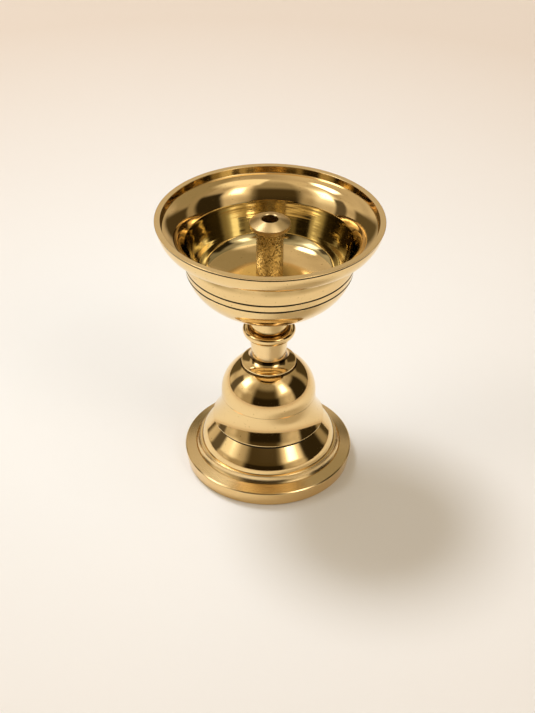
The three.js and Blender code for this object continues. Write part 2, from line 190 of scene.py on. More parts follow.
def threadedRod(name, thread, low, high):
    # one pitch of the thread's section, wound up by a Screw modifier and cut square at both ends
    crest, pitch = thread["radius"], thread["pitch"]
    core = crest - thread["depth"]
    turns = math.ceil((high - low) / pitch) + thread["spareTurns"]
    base = low - pitch
    # heights are shares of the pitch
    section = [(core, 0), (core, 0.2), (crest, 0.5), (crest, 0.65), (core, 1.0)]
    piece = drawChain(name, [Vector((r, base + h * pitch)) for r, h in section])
    bpy.ops.object.mode_set(mode="OBJECT")
    applyModifier(
        piece, "SCREW", angle=2 * math.pi, screw_offset=pitch * mm, iterations=turns,
        steps=thread["steps"], render_steps=thread["steps"], use_merge_vertices=True, merge_threshold=weld,
    )
    bpy.ops.object.mode_set(mode="EDIT")
    for height, facing in ((low, -1), (high, 1)):
        bpy.ops.mesh.select_all(action="SELECT")
        bpy.ops.mesh.bisect(
            plane_co=(0, 0, height * mm), plane_no=(0, 0, facing), use_fill=True, clear_outer=True,
        )
    return tidyMesh(piece)


def joinPieces(piece, other):
    makeActive(piece)
    other.select_set(True)
    bpy.ops.object.join()
    return piece


def finishPiece(piece, body, node):
    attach(piece, body)
    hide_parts(node)
    print(piece.name, "stands for", node, "with", len(piece.data.polygons), "faces")


# Shader maths reads as Python: an Amount wraps a socket, and each operator adds a Math node
class Amount:
    def __init__(self, finish, socket):
        self.finish, self.socket = finish, socket

    def maths(self, operation, *values):
        return self.finish.node("Math", dict(enumerate(values)), operation=operation)

    def __add__(self, other):
        return self.maths("ADD", self, other)

    def __sub__(self, other):
        return self.maths("SUBTRACT", self, other)

    def __mul__(self, other):
        return self.maths("MULTIPLY", self, other)

    def __pow__(self, other):
        return self.maths("POWER", self, other)

    def __rsub__(self, other):
        return self.maths("SUBTRACT", other, self)

    __radd__, __rmul__ = __add__, __mul__


class Finish:
    def __init__(self, name, holder=None):
        self.holder = holder or bpy.data.materials.new(name)
        self.holder.use_nodes = True
        self.tree = self.holder.node_tree
        self.tree.nodes.clear()

    def node(self, kind, sockets=None, output=0, stops=None, **settings):
        made = self.tree.nodes.new("ShaderNode" + kind)
        for key, value in settings.items():
            setattr(made, key, value)
        if stops:
            ramp = made.color_ramp.elements
            for element, (place, level) in zip(ramp, stops):
                element.position, element.color = place, (level, level, level, 1)
        for key, value in (sockets or {}).items():
            if isinstance(value, Amount):
                self.tree.links.new(value.socket, made.inputs[key])
            else:
                made.inputs[key].default_value = value
        return Amount(self, made.outputs[output]) if made.outputs else None

    def place(self):
        return self.node("TexCoord", output="Object")

    def split(self, vector):
        parts = self.node("SeparateXYZ", {0: vector}).socket.node.outputs
        return [Amount(self, part) for part in parts]

    def rings(self, place):
        # distance from the lamp's axis and height, for marks that the lathe leaves
        x, y, z = self.split(place)
        return self.node("CombineXYZ", {0: (x * x + y * y) ** 0.5, 1: z})

    def noise(self, vector, scale, detail=3, roughness=0.5):
        sockets = {"Vector": vector, "Scale": scale, "Detail": detail, "Roughness": roughness}
        return self.node("TexNoise", sockets)

    def ramp(self, factor, stops):
        return self.node("ValToRGB", {0: factor}, stops=stops)

    def smoothStep(self, value, low=0.0, high=1.0):
        return self.node("MapRange", {0: value, 1: low, 2: high}, interpolation_type="SMOOTHSTEP")

    def mixColours(self, factor, first, second):
        return self.node("Mix", {0: factor, 6: first, 7: second}, output=2, data_type="RGBA")

    def bump(self, height, look):
        sockets = {"Height": height, "Strength": look["bump"], "Distance": look["bumpDepth"] * mm}
        return self.node("Bump", sockets)

    def cover(self, **sockets):
        named = {key.replace("_", " ").title().replace("Ior", "IOR"): value for key, value in sockets.items()}
        shader = self.node("BsdfPrincipled", named)
        self.node("OutputMaterial", {"Surface": shader})
        return self.holder


def colour(red, green, blue):
    return (red, green, blue, 1)


# Scales of noise are per metre, and bump depths are in millimetres
polish = {
    "tint": colour(0.89, 0.67, 0.345), "wornTint": colour(0.85, 0.625, 0.295), "toneScale": 35,
    "roughness": 0.035, "smudge": 0.035, "smudgeScale": 90, "lines": 0.03, "lineScale": 2600,
    "pitTint": colour(0.42, 0.27, 0.09), "pitScale": 1300, "pitStops": ((0.68, 0), (0.74, 1)),
    "pitRoughness": 0.2, "lineRelief": 0.25, "unevenScale": 110, "ripple": 0, "rippleScale": 420,
    "bump": 0.12, "bumpDepth": 0.1,
}
# bowl's inner wall: real ripples in the bump, and a darker tint that is painted shade inside the bowl
bowlWallShadeLook = {"tint": colour(0.63, 0.53, 0.31), "wornTint": colour(0.51, 0.42, 0.20), "ripple": 6.0}
# painted shade: darker brass under the cup round the collar and in the knop's valley
halfShadeLook = {"tint": colour(0.52, 0.37, 0.17), "wornTint": colour(0.42, 0.28, 0.11)}
shadedLook = {"tint": colour(0.20, 0.125, 0.042), "wornTint": colour(0.11, 0.068, 0.022)}
coveShadeLook = {  # painted shade and reflection under the band; low and high are below the band's lower edge
    "low": 9.4, "high": 7.0, "tint": colour(0.42, 0.29, 0.11), "scale": 60, "stops": ((0.35, 0.25), (0.6, 1)),
}


def polishedBrass(name="polishedBrass", coveShadeHeights=None, **changes):
    look = {**polish, **changes}
    finish = Finish(name)
    place = finish.place()
    rings = finish.rings(place)
    lines = finish.noise(rings, look["lineScale"], detail=2)
    smudges = finish.noise(place, look["smudgeScale"], detail=4, roughness=0.6)
    tone = finish.noise(place, look["toneScale"])
    pits = finish.ramp(finish.noise(place, look["pitScale"], detail=2), look["pitStops"])
    relief = lines * look["lineRelief"] + finish.noise(place, look["unevenScale"], detail=1)
    if look["ripple"]:
        relief = relief + finish.noise(rings, look["rippleScale"], detail=1) * look["ripple"]
    brass = finish.mixColours(tone, look["tint"], look["wornTint"])
    # painted shade: the cove under the band turns darker and patchy above the given heights
    if coveShadeHeights:
        height = finish.split(place)[2]
        patches = finish.ramp(finish.noise(place, coveShadeLook["scale"], detail=2), coveShadeLook["stops"])
        brass = finish.mixColours(finish.smoothStep(height, *coveShadeHeights) * patches, brass, coveShadeLook["tint"])
    roughness = look["roughness"] + smudges * look["smudge"] + lines * look["lines"]
    return finish.cover(
        base_color=finish.mixColours(pits, brass, look["pitTint"]),
        metallic=1.0,
        roughness=roughness + pits * look["pitRoughness"],
        normal=finish.bump(relief, look),
    )


satin = {
    "tint": colour(0.93, 0.72, 0.40), "wornTint": colour(0.86, 0.65, 0.33), "toneScale": 60,
    "roughness": 0.17, "spread": 0.08, "lineScale": 3500, "anisotropic": 0.4, "grain": 0.25,
    "bump": 0.35, "bumpDepth": 0.05,
}
brushedLook = {"tint": colour(0.95, 0.73, 0.40), "wornTint": colour(0.90, 0.66, 0.33), "roughness": 0.1}
footSideLook = {"tint": colour(0.86, 0.63, 0.31), "wornTint": colour(0.78, 0.54, 0.24), "roughness": 0.11}
holderTopLook = {
    "tint": colour(0.98, 0.77, 0.43), "wornTint": colour(0.93, 0.70, 0.36), "roughness": 0.3,
    "anisotropic": 0.5,
}


def satinBrass(name="satinBrass", **changes):
    look = {**satin, **changes}
    finish = Finish(name)
    place = finish.place()
    lines = finish.noise(finish.rings(place), look["lineScale"], roughness=0.7)
    tone = finish.noise(place, look["toneScale"], detail=4, roughness=0.6)
    return finish.cover(
        base_color=finish.mixColours(tone, look["tint"], look["wornTint"]),
        metallic=1.0,
        roughness=look["roughness"] + lines * look["spread"],
        anisotropic=look["anisotropic"],
        anisotropic_rotation=look["grain"],
        normal=finish.bump(lines, look),
    )


cast = {
    "tint": colour(0.82, 0.66, 0.35), "deepTint": colour(0.30, 0.20, 0.07), "gritScale": 900,
    "pitStops": ((0.36, 0), (0.55, 1)), "roughness": 0.12, "pitRoughness": 0.3, "bump": 0.9, "bumpDepth": 0.35,
}


def castBrass():
    finish = Finish("castBrass")
    grit = finish.noise(finish.place(), cast["gritScale"], detail=5, roughness=0.65)
    pits = finish.ramp(grit, cast["pitStops"])
    return finish.cover(
        base_color=finish.mixColours(pits, cast["deepTint"], cast["tint"]),
        metallic=1.0,
        roughness=cast["roughness"] + (1 - pits) * cast["pitRoughness"],
        normal=finish.bump(grit, cast),
    )


# black fill in the two grooves round the cup, and painted shadow in the groove under the lip, under the
# flange's edge and in the skirt's undercut
fillAndShadeLook = {
    "tint": colour(0.012, 0.012, 0.01), "fleckTint": colour(0.05, 0.04, 0.022), "fleckScale": 700,
    "roughness": 0.55, "spread": 0.2, "shine": 0.2,
}


def blackFillAndShade():
    finish = Finish("blackFillAndShade")
    flecks = finish.noise(finish.place(), fillAndShadeLook["fleckScale"])
    return finish.cover(
        base_color=finish.mixColours(flecks, fillAndShadeLook["tint"], fillAndShadeLook["fleckTint"]),
        metallic=0.0,
        roughness=fillAndShadeLook["roughness"] + flecks * fillAndShadeLook["spread"],
        specular_ior_level=fillAndShadeLook["shine"],
    )


plating = {
    "tint": colour(0.62, 0.62, 0.60), "wornTint": colour(0.48, 0.49, 0.50), "grainScale": 400,
    "roughness": 0.3, "spread": 0.15, "bump": 0.2, "bumpDepth": 0.04,
}


def platedSteel():
    finish = Finish("platedSteel")
    grain = finish.noise(finish.place(), plating["grainScale"], detail=4, roughness=0.6)
    return finish.cover(
        base_color=finish.mixColours(grain, plating["tint"], plating["wornTint"]),
        metallic=1.0,
        roughness=plating["roughness"] + grain * plating["spread"],
        normal=finish.bump(grain, plating),
    )


polished = polishedBrass()
satinTurned = satinBrass()
rough = castBrass()
blackFillAndShadow = blackFillAndShade()
steel = platedSteel()
brushed = satinBrass("brushedBrass", **brushedLook)
footSide = satinBrass("footSideBrass", **footSideLook)
holderFace = satinBrass("holderFaceBrass", **holderTopLook)
rippledShaded = polishedBrass("rippledShadedBrass", **bowlWallShadeLook)
halfShaded = polishedBrass("halfShadedBrass", **halfShadeLook)
shaded = polishedBrass("shadedBrass", **shadedLook)
print("finishes made")

# The camera stands where the photograph was taken from
camera = {
    "place": (0, -0.5105, 0.4235), "pitch": 35.68, "roll": 0.525, "focal": 68.67, "sensor": 36,
    "shift": -0.00187, "near": 0.01, "far": 20,
}
cameraData = bpy.data.cameras.new("camera")
cameraObject = bpy.data.objects.new("camera", cameraData)
bpy.context.scene.collection.objects.link(cameraObject)
cameraData.lens, cameraData.sensor_width = camera["focal"], camera["sensor"]
cameraData.shift_x = camera["shift"]
cameraData.clip_start, cameraData.clip_end = camera["near"], camera["far"]
tilt = Matrix.Rotation(math.radians(90 - camera["pitch"]), 4, "X")
lean = Matrix.Rotation(math.radians(camera["roll"]), 4, "Z")
cameraObject.matrix_world = Matrix.Translation(camera["place"]) @ tilt @ lean
bpy.context.scene.camera = cameraObject

# Stand, from the floor up
foot = {
    "radius": 39.8, "taper": 0.9, "edge": 7, "bevel": 0.5, "rise": 1.2, "standWidth": 3, "wall": 3, "draft": 1,
    "stepRadius": 32.4, "stepFlare": 1.7, "stepHollow": 0.25, "stepHeight": 3.4,
    "register": 29.1, "registerWidth": 2, "registerHeight": 1.5,
    "arms": 3, "armWidth": 7, "armThickness": 3, "hub": 8.6, "hubHeight": 4, "hubBottom": 8.6, "hubSides": 64,
    "bore": 3.3, "boreLow": 7, "boreHigh": 14,
}
boreRadius = foot["bore"]
plateTop = foot["edge"] + foot["bevel"] + foot["rise"]
footSeat = plateTop + foot["stepHeight"]


def makeFootPlate():
    f = foot
    floorRadius = f["radius"] - f["taper"]
    stepFoot = f["stepRadius"] + f["stepFlare"]
    inner = f["register"] - f["registerWidth"]
    recess = floorRadius - f["standWidth"]
    bevel = f["bevel"]
    registerTop = footSeat + f["registerHeight"]
    stepEnd = (f["stepRadius"] + bevel, footSeat - bevel)
    piece = turnPiece("footPlate", [
        (recess, 0, 0.3),
        (floorRadius - bevel, 0, 0.25),
        (floorRadius, bevel, 0.25),
        (f["radius"], f["edge"], 0.35),
        (f["radius"] - bevel, f["edge"] + bevel, 0.35),
        (stepFoot + bevel, plateTop),
        (stepFoot + bevel / 2, plateTop - bevel),
        *bowed((stepFoot, plateTop), stepEnd, -f["stepHollow"], steps=12),
        *arc((f["stepRadius"], footSeat - bevel), bevel, bevel, start=10, stop=90, steps=6),
        (f["register"], footSeat),
        (f["register"], registerTop, 0.2),
        (inner, registerTop, 0.2),
        (inner, f["hubBottom"]),
        (f["register"], plateTop - f["wall"], 0.8),
        (recess - f["draft"], f["edge"] - f["wall"], 0.8),
    ], largeSteps)
    hubTop = f["hubBottom"] + f["hubHeight"]
    combine(piece, cylinder("hub", f["hub"], f["hubBottom"], hubTop, f["hubSides"]), "UNION")
    half = f["armWidth"] / 2
    armEnd = Vector((inner + f["registerWidth"] / 2, half, f["hubBottom"] + f["armThickness"]))
    for i in range(f["arms"]):
        arm = box("arm", Vector((0, -half, f["hubBottom"])) * mm, armEnd * mm)
        arm.data.transform(Matrix.Rotation(2 * math.pi * i / f["arms"] + math.pi / 2, 4, "Z"))
        combine(piece, arm, "UNION")
    combine(piece, cylinder("bore", boreRadius, f["boreLow"], f["boreHigh"], boreSteps), "DIFFERENCE")
    return smoothAgain(piece)


bell = {
    "seat": 31.7, "wall": 2.3, "round": 10.5, "start": 8, "lean": 41, "waist": 25, "undercut": 1.2,
    "undercutHeight": 1.9, "overhang": 1.2, "lip": 0.4, "skirt": 12.6,
    "registerHeight": 1.5, "registerWidth": 2, "fit": 0.3,
}
dome = {"seam": 22.1, "straight": 1.3, "rise": 18.9, "land": 12.3, "wall": 2.2, "hollowEnd": 72, "bevel": 0.15}


def bulgeOutline(wall, steps):
    start, lean = math.radians(bell["start"]), math.radians(bell["lean"])
    centre = (bell["seat"] - bell["round"] * math.cos(start), footSeat - bell["round"] * math.sin(start))
    size = bell["round"] - wall
    points = arc(centre, size, size, bell["start"], bell["lean"], steps)
    lastRadius, lastHeight = points[-1]
    run = lastRadius - (bell["waist"] - wall * math.cos(lean))
    return points + [(lastRadius - run, lastHeight + run / math.tan(lean))]


waistHeight = bulgeOutline(wall=0, steps=4)[-1][1]
lipHeight = waistHeight + bell["undercutHeight"]
seamHeight = lipHeight + bell["lip"] + bell["skirt"]


def skirtOutline(wall, steps):
    flare = bell["waist"] + bell["overhang"] - dome["seam"]
    size = (bell["skirt"] ** 2 + flare ** 2) / (2 * flare)
    sweep = math.degrees(math.asin(bell["skirt"] / size))
    return arc((dome["seam"] + size, seamHeight), size + wall, size + wall, 180 + sweep, 180, steps)


def makeLowerBell():
    b = bell
    registerRadius = dome["seam"] - dome["wall"] - b["fit"]
    registerInner = registerRadius - b["registerWidth"]
    innerSeat = b["seat"] - b["wall"]
    rebate = footSeat + b["registerHeight"] + b["fit"]
    inside = [(innerSeat, footSeat), (innerSeat, rebate)]
    inside += [p for p in bulgeOutline(b["wall"], steps=16) if p[1] > rebate]
    inside += skirtOutline(b["wall"], steps=20)[:-1]
    bulge = bulgeOutline(wall=0, steps=28)
    return turnPiece("lowerBell", [
        *bulge[:-1],
        (*bulge[-1], 0.2),
        (b["waist"] - b["undercut"], waistHeight + b["undercut"], 0.25),
        (b["waist"] + b["overhang"], lipHeight, 0.15),
        *skirtOutline(wall=0, steps=36),
        (registerRadius, seamHeight),
        (registerRadius, seamHeight + b["registerHeight"], 0.2),
        (registerInner, seamHeight + b["registerHeight"], 0.2),
        *reversed(inside),
    ], largeSteps)


domeSpring = seamHeight + dome["straight"]
domeTop = domeSpring + dome["rise"] * math.sqrt(1 - (dome["land"] / dome["seam"]) ** 2)


def makeBellDome():
    d = dome
    land = math.degrees(math.acos(d["land"] / d["seam"]))
    inner = d["seam"] - d["wall"]
    innerTop = domeTop - d["wall"]
    return turnPiece("bellDome", [
        (inner, seamHeight),
        (d["seam"] - d["bevel"], seamHeight),
        (d["seam"], seamHeight + d["bevel"]),
        *arc((0, domeSpring), d["seam"], d["rise"], start=0, stop=land, steps=44),
        (boreRadius, domeTop),
        (boreRadius, innerTop),
        *arc((0, domeSpring), inner, innerTop - domeSpring, start=d["hollowEnd"], stop=0, steps=24),
    ], largeSteps)


flange = {
    "radius": 12.7, "seat": 10.6, "recess": 0.5, "undercut": 0.58, "edge": 1.2, "height": 4.9, "rise": 18,
    "steep": 75,
}
neck = {"foot": 7.9, "top": 9.0, "height": 9.2, "hollow": 0.1}
knop = {
    "radius": 12.1, "ring": 9.3, "ringHeight": 1.0, "ringFlare": 0.2, "belly": 4.4, "bellyStart": -88,
    "height": 7.8, "core": 9.1, "crown": 10.4, "crownDrop": 1.8, "crownEnd": 136,
}
flangeTop = domeTop + flange["height"]
neckTop = flangeTop + neck["height"]
knopTop = neckTop + knop["height"]


def makeNeckFlange():
    f = flange
    lip = (f["radius"] - f["edge"] / 4, domeTop + f["edge"])
    top = (neck["foot"], flangeTop)
    return turnPiece("neckFlange", [
        (boreRadius, domeTop),
        (f["seat"], domeTop),
        (f["seat"], domeTop + f["recess"]),
        (f["radius"] - f["edge"] / 5, domeTop + f["recess"]),
        (f["radius"], domeTop + f["undercut"], 0.08),
        (f["radius"], domeTop + f["edge"], 0.15),
        *flowing(lip, 180 - f["rise"], top, 180 - f["steep"], pulls=(1, 1), steps=28),
        (boreRadius, flangeTop),
    ], smallSteps)


def makeNeck():
    return turnPiece("taperNeck", [
        (boreRadius, flangeTop),
        *bowed((neck["foot"], flangeTop), (neck["top"], neckTop), -neck["hollow"], steps=16),
        (boreRadius, neckTop),
    ], smallSteps)


def makeKnop():
    k = knop
    belly = neckTop + k["belly"]
    bulge = k["radius"] - k["core"]
    bellyDepth = k["belly"] - k["ringHeight"] - k["ringFlare"]
    crownHeight = k["height"] - k["belly"] - k["crownDrop"]
    crown = arc((k["crown"], belly), k["radius"] - k["crown"], crownHeight, 0, k["crownEnd"], steps=26)
    return turnPiece("beadKnop", [
        (boreRadius, neckTop),
        (k["ring"], neckTop, 0.15),
        (k["ring"], neckTop + k["ringHeight"], 0.1),
        *arc((k["core"], belly), bulge, bellyDepth, start=k["bellyStart"], stop=0, steps=24),
        *crown[1:],
        (k["core"], crown[-1][1]),
        (k["core"], knopTop),
        (boreRadius, knopTop),
    ], smallSteps)


# Bowl and wick holder
bowl = {
    "collar": 9.1, "collarFlare": 0.2, "collarHeight": 3.4, "cup": 37.5, "cupDepth": 25.4,
    "baseRadius": 13.4, "baseHeight": 6.5, "baseHollow": 0.7, "wallHeight": 5.6, "wallFlare": 0.5,
    "groove": 0.75, "grooveDepth": 0.6, "upperGroove": 0.42, "lowerGroove": 3.85,
    "bandFoot": 47.2, "bandTop": 49.6, "bandHeight": 5.8, "bandBulge": 0.4, "bandEdge": 0.4, "bandRise": 0.3,
    "cove": 7.4, "coveEnd": 97, "rim": 50, "rimGroove": 1.4, "rimGrooveHeight": 0.5, "lipEdge": 0.45,
    "rimEdge": 1, "rimWidth": 2.6, "coveInset": 0.55, "coveDrop": 3.15, "coveRound": 0.38,
    "shelfStart": 16, "shelfEnd": 62.8, "shelfPulls": (1.46, 1.02), "ledgeInset": 0.3, "ledgeDrop": 12.07,
    "wallInset": 4.77, "wallDrop": 25.56, "floorInset": 8.41, "floorEdgeDrop": 30.1, "floorSlope": 28,
    "floorPulls": (0.87, 1.25), "floorDrop": 34.2, "pad": 7, "socket": 3.3, "socketPlay": 0.4,
}
thread = {"radius": 3, "pitch": 1, "depth": 0.6, "steps": 32, "spareTurns": 2}
rod = {"low": 2.4, "inBowl": 6.3, "nutTail": 1}
rodTop = knopTop + rod["inBowl"]
collarTop = knopTop + bowl["collarHeight"]
cupBase = collarTop + bowl["baseHeight"]
cupWidest = cupBase + bowl["cupDepth"] * math.sqrt(1 - (bowl["baseRadius"] / bowl["cup"]) ** 2)
cupWallTop = cupWidest + bowl["wallHeight"]
bandBottom = cupWallTop + bowl["cove"]
bandTop = bandBottom + bowl["bandEdge"] + bowl["bandHeight"]
rimTop = bandTop + bowl["rimGrooveHeight"] + bowl["rimEdge"]
padHeight = rimTop - bowl["floorDrop"]


def cupRadius(drop):
    return bowl["cup"] * math.sqrt(1 - (drop / bowl["cupDepth"]) ** 2)


def grooveOutline(drop):
    radius = cupRadius(drop)
    deep = radius - bowl["grooveDepth"]
    low = cupWidest - drop - bowl["groove"] / 2
    high = cupWidest - drop + bowl["groove"] / 2
    return [(radius, low, 0.08), (deep, low), (deep, high), (radius, high, 0.08)]


def makeBowl():
    b = bowl
    stud = holder["studLength"] + b["socketPlay"]
    cupStart = math.degrees(math.asin(b["baseRadius"] / b["cup"])) - 90
    below = -math.degrees(math.asin((b["lowerGroove"] + b["groove"]) / b["cupDepth"]))
    mouth = b["rim"] - b["rimWidth"]
    cove = (mouth - b["coveInset"], rimTop - b["coveDrop"])
    ledge = (b["cup"] - b["ledgeInset"], rimTop - b["ledgeDrop"])
    wallFoot = (b["cup"] - b["wallInset"], rimTop - b["wallDrop"])
    wallSlope = math.degrees(math.atan2(ledge[1] - wallFoot[1], ledge[0] - wallFoot[0]))
    floorEdge = (b["cup"] - b["floorInset"], rimTop - b["floorEdgeDrop"])
    floorHeading = 180 + b["floorSlope"]
    pad = (b["pad"], padHeight)
    coveReach = b["bandFoot"] - b["cup"] - b["wallFlare"]
    bandStart = (b["bandFoot"], bandBottom + b["bandEdge"])
    bandEnd = (b["bandTop"], bandTop + b["bandRise"])
    collarEdge = (b["collar"] + b["collarFlare"], collarTop)
    collar = bowed(collarEdge, (b["baseRadius"], cupBase), -b["baseHollow"], steps=14)
    return turnPiece("oilBowl", [
        (0, rodTop + b["socketPlay"]),
        (b["socket"], rodTop + b["socketPlay"]),
        (b["socket"], knopTop),
        (b["collar"], knopTop),
        *collar[:-2],
        *arc((0, cupWidest), b["cup"], b["cupDepth"], cupStart, below, steps=36),
        *grooveOutline(b["lowerGroove"]),
        *grooveOutline(b["upperGroove"]),
        (b["cup"], cupWidest),
        *arc((b["bandFoot"], cupWallTop), coveReach, b["cove"], 180, b["coveEnd"], steps=24),
        (b["bandFoot"] - b["bandEdge"], bandBottom, 0.15),
        *bowed(bandStart, bandEnd, b["bandBulge"], steps=14),
        (b["rim"] - b["rimGroove"], bandEnd[1]),
        (b["rim"] - b["rimGroove"], rimTop - b["lipEdge"]),
        (b["rim"], rimTop - b["lipEdge"], 0.1),
        (b["rim"], rimTop, 0.2),
        (mouth, rimTop, 0.2),
        (*cove, b["coveRound"]),
        *flowing(cove, 180 + b["shelfStart"], ledge, 180 + b["shelfEnd"], b["shelfPulls"], steps=36)[2:],
        *bowed(ledge, wallFoot, 0, steps=24)[1:],
        *flowing(wallFoot, 180 + wallSlope, floorEdge, floorHeading, pulls=(1, 1), steps=18)[1:],
        *flowing(floorEdge, floorHeading, pad, 180, b["floorPulls"], steps=44)[1:],
        (b["socket"], padHeight),
        (b["socket"], padHeight - stud),
        (0, padHeight - stud),
    ], largeSteps, isClosed=False)


holder = {
    "shaft": 6, "radius": 9, "thickness": 2.2, "crown": 1.7, "crownLift": 1.3, "chamfer": 0.35, "belowLip": 1.6,
    "wick": 3.6, "wickDepth": 24, "wickBevel": 0.4, "drillPoint": 1, "studLength": 4.6, "studOverlap": 0.2,
    "shaftSteps": 40,  # the cast shaft has faces all the way up, for its rough finish
}
holderTop = rimTop - holder["belowLip"]


def makeWickHolder():
    h = holder
    crownTop = holderTop + h["crownLift"]
    edge = crownTop - h["crown"]
    underside = edge - h["thickness"]
    floor = holderTop - h["wickDepth"]
    steps = h["shaftSteps"]
    shaft = [(h["shaft"], padHeight + (underside - padHeight) * i / steps) for i in range(1, steps)]
    piece = turnPiece("wickHolder", [
        (0, padHeight),
        (h["shaft"], padHeight),
        *shaft,
        (h["shaft"], underside, 0.5),
        (h["radius"], underside, 0.3),
        (h["radius"], edge - h["chamfer"]),
        (h["radius"] - h["chamfer"], edge),
        (h["wick"] + h["wickBevel"], crownTop),
        (h["wick"], crownTop - h["wickBevel"], 0.1),
        (h["wick"], floor),
        (0, floor - h["drillPoint"]),
    ], smallSteps, isClosed=False)
    stud = threadedRod("stud", thread, padHeight - h["studLength"], padHeight + h["studOverlap"])
    return joinPieces(piece, stud)


def makeTieRod():
    return threadedRod("tieRod", thread, rod["low"], rodTop)


nut = {
    "flats": 10, "height": 4, "chamfer": 0.5, "washer": 8, "washerHeight": 1.2,
    "cornerPlay": 0.1, "cutThrough": 1,  # how far the cutting shapes reach past the nut
}
nutBottom = rod["low"] + rod["nutTail"]
washerBottom = nutBottom + nut["height"]


def makeTieNut():
    # a hexagon whose corners a cone has taken off, as on a turned nut
    corner = nut["flats"] / math.sqrt(3)
    low, high, cut = nutBottom, nutBottom + nut["height"], nut["chamfer"]
    piece = cylinder("tieNut", corner, low, high, 6)
    cone = turnPiece("cone", [
        (0, low),
        (nut["flats"] / 2, low),
        (corner + nut["cornerPlay"], low + cut),
        (corner + nut["cornerPlay"], high - cut),
        (nut["flats"] / 2, high),
        (0, high),
    ], fastenerSteps, isClosed=False)
    combine(piece, cone, "INTERSECT")
    low, high = low - nut["cutThrough"], high + nut["cutThrough"]
    combine(piece, cylinder("nutBore", boreRadius, low, high, boreSteps), "DIFFERENCE")
    return smoothAgain(piece)


def makeTieWasher():
    return turnPiece("tieWasher", [
        (boreRadius, washerBottom, 0.15),
        (nut["washer"], washerBottom, 0.25),
        (nut["washer"], washerBottom + nut["washerHeight"], 0.1),
        (boreRadius, washerBottom + nut["washerHeight"], 0.1),
    ], fastenerSteps)


plan = (
    (makeFootPlate, satinTurned, "stand", "foot_plate", "satin_brass"),
    (makeLowerBell, polished, "stand", "lower_bell", "polished_brass"),
    (makeBellDome, polished, "stand", "bell_dome", "polished_brass"),
    (makeNeckFlange, polished, "stand", "neck_flange", "polished_brass"),
    (makeNeck, brushed, "stand", "neck", "satin_brass"),
    (makeKnop, polished, "stand", "knop", "polished_brass"),
    (makeTieRod, steel, "stand", "tie_rod", "plated_steel"),
    (makeTieWasher, steel, "stand", "tie_washer", "plated_steel"),
    (makeTieNut, steel, "stand", "tie_nut", "plated_steel"),
    (makeBowl, polished, "bowl", "bowl", "polished_brass"),
    (makeWickHolder, rough, "wick_holder", "wick_holder", "cast_brass"),
)
pieces = {}
for maker, material, body, node, slotName in plan:
    piece = maker()
    piece.data.materials.clear()
    piece.data.materials.append(material)
    pieces[node] = piece
    finishPiece(piece, body, node)

# Second finishes go on the faces that a test picks: a Spot is a face's centre in millimetres and where it faces
Spot = namedtuple("Spot", "radius height outwards up")
margins = {
    "hair": 0.02, "wall": 0.1,  # what a test allows beside an edge and past a wall
    "grooveSkin": 0.06, "lipTop": 0.4, "faceUp": 0.9, "faceUnder": -0.3,
    "coveInset": 0.6, "flangeInset": 0.2, "flangeRise": 0.03, "cupFoot": 3.5,
    "darkRing": 0.75,  # the width of the ring of painted shade where one piece stands on the next
    "valleyTop": 0.05, "skirtInside": 1.5, "skirtOutside": 0.6, "skirtTop": 0.2,
    "holderFace": 3, "wickWall": 0.05, "wickFloor": 1, "footTaper": 0.3,
}


def paintFaces(piece, material, wanted):
    piece.data.materials.append(material)
    slotIndex = len(piece.data.materials) - 1
    for face in piece.data.polygons:
        centre, normal = face.center, face.normal
        outwards = centre.x * normal.x + centre.y * normal.y
        if wanted(Spot(math.hypot(centre.x, centre.y) / mm, centre.z / mm, outwards, normal.z)):
            face.material_index = slotIndex


def inCove(spot):
    isOutside = spot.radius > bowl["cup"] - margins["coveInset"] and spot.outwards > 0
    return isOutside and cupWidest < spot.height < bandBottom


# painted shade under the cup, where it meets the collar
def underCup(spot):
    return spot.up < margins["faceUnder"] and spot.radius < bowl["baseRadius"] + margins["cupFoot"]


def onBowlWall(spot):
    return spot.outwards < 0 and -bowl["floorEdgeDrop"] < spot.height - rimTop < -bowl["ledgeDrop"]


def onLipTop(spot):
    return spot.up > margins["faceUp"] and spot.height > rimTop - margins["lipTop"]


def inGroove(spot):
    # the two grooves round the cup, which hold black fill, and the one under the lip, whose black is painted
    # shadow
    half = bowl["groove"] / 2 + margins["hair"]
    for drop in (bowl["upperGroove"], bowl["lowerGroove"]):
        depth = cupRadius(drop) - spot.radius
        isDeep = margins["grooveSkin"] < depth < bowl["grooveDepth"] + margins["wall"]
        if isDeep and abs(spot.height - cupWidest + drop) < half:
            return True
    low, high = bandTop + bowl["bandRise"] - margins["hair"], rimTop - bowl["lipEdge"] + margins["hair"]
    return low < spot.height < high and 0 < bowl["rim"] - spot.radius < bowl["rimGroove"] + margins["wall"]


# painted shadow: black in the recess under the flange's edge
def underFlange(spot):
    isLow = spot.height < domeTop + flange["recess"] + margins["flangeRise"]
    return isLow and spot.radius > flange["seat"] - margins["flangeInset"]


# painted shade on the flange's dish round the neck's foot
def atNeckFoot(spot):
    return spot.radius < neck["foot"] + margins["darkRing"]


# painted shade on the dome in a ring round the flange
def besideFlange(spot):
    isRing = boreRadius + margins["wall"] < spot.radius < dome["land"] + margins["darkRing"]
    return isRing and spot.height > domeTop - dome["wall"] / 2


# painted shade in the knop's valley, under the bowl's collar
def inKnopValley(spot):
    isHigh = neckTop + knop["belly"] < spot.height < knopTop - margins["valleyTop"]
    return isHigh and spot.radius < knop["crown"] - margins["darkRing"]


# painted shadow: black in the undercut under the skirt's lip
def underSkirt(spot):
    isLow = waistHeight - margins["wall"] < spot.height < lipHeight - margins["skirtTop"]
    return isLow and -margins["skirtInside"] < spot.radius - bell["waist"] < margins["skirtOutside"]


def facesInwards(spot):
    return spot.outwards < 0 or spot.up < -margins["faceUp"]


